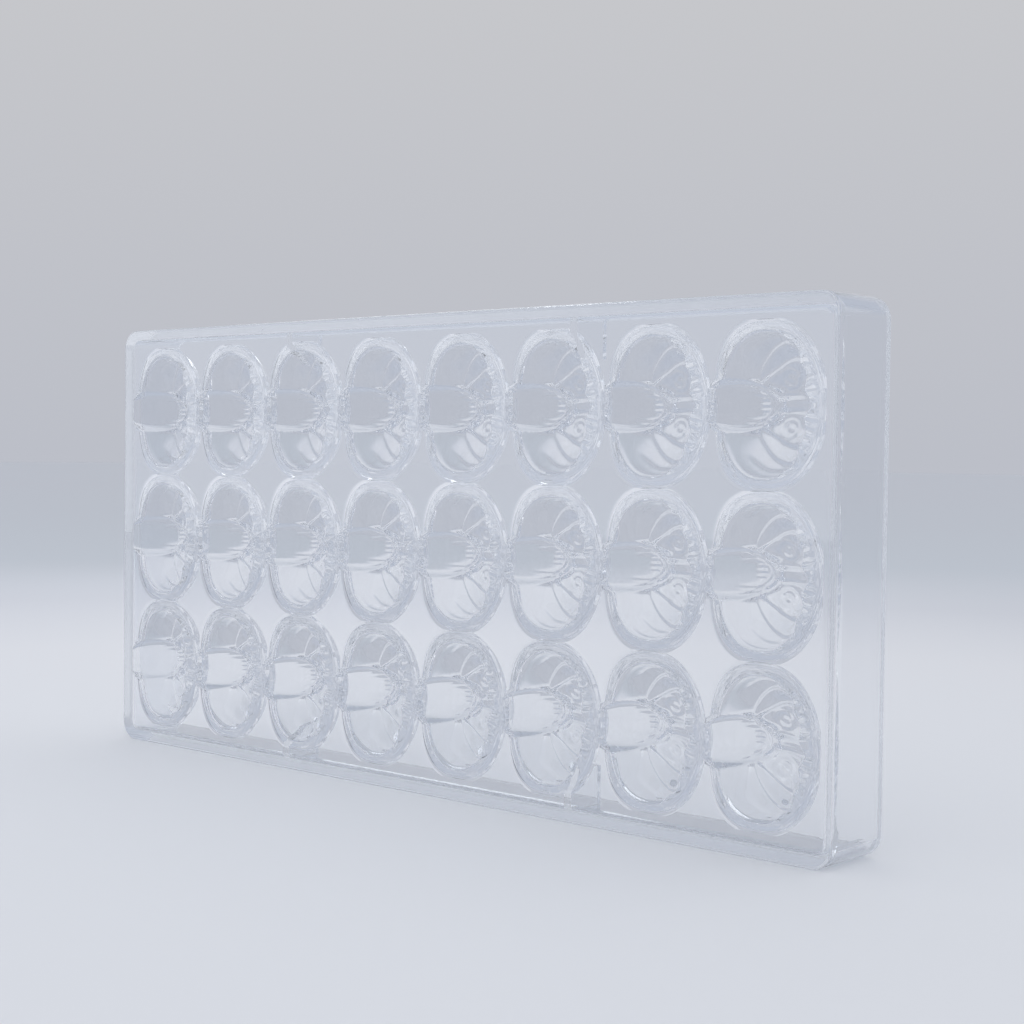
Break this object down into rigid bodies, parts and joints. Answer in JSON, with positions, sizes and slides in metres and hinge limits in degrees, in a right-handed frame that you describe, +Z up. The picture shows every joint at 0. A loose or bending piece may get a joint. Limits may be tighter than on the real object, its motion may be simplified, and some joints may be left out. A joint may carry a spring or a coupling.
{
  "type": "chocolate mold",
  "caption": "Clear one-piece polycarbonate chocolate mold: a flat deck with a grid of oval relief cavities and a skirt round its edge.",
  "frame": {"origin": "centre of the bottom long side, at mid depth, with the mold standing on that side", "axes": "+Z up, +X along the length, -Y out of the cavities' mouths, +Y to the open underside"},
  "size_m": [0.275, 0.022, 0.135],
  "materials": {
    "clear_polycarbonate": "gloss"
  },
  "bodies": {
    "root": {"cavity_r1_c1": "clear_polycarbonate", "cavity_r1_c2": "clear_polycarbonate", "cavity_r1_c3": "clear_polycarbonate", "cavity_r1_c4": "clear_polycarbonate", "cavity_r1_c5": "clear_polycarbonate", "cavity_r1_c6": "clear_polycarbonate", "cavity_r1_c7": "clear_polycarbonate", "cavity_r1_c8": "clear_polycarbonate", "cavity_r2_c1": "clear_polycarbonate", "cavity_r2_c2": "clear_polycarbonate", "cavity_r2_c3": "clear_polycarbonate", "cavity_r2_c4": "clear_polycarbonate", "cavity_r2_c5": "clear_polycarbonate", "cavity_r2_c6": "clear_polycarbonate", "cavity_r2_c7": "clear_polycarbonate", "cavity_r2_c8": "clear_polycarbonate", "cavity_r3_c1": "clear_polycarbonate", "cavity_r3_c2": "clear_polycarbonate", "cavity_r3_c3": "clear_polycarbonate", "cavity_r3_c4": "clear_polycarbonate", "cavity_r3_c5": "clear_polycarbonate", "cavity_r3_c6": "clear_polycarbonate", "cavity_r3_c7": "clear_polycarbonate", "cavity_r3_c8": "clear_polycarbonate", "end_wall_left": "clear_polycarbonate", "end_wall_right": "clear_polycarbonate", "long_wall_top": "clear_polycarbonate", "long_wall_bottom": "clear_polycarbonate", "rib_line_left": "clear_polycarbonate", "rib_line_right": "clear_polycarbonate"}
  },
  "joints": []
}
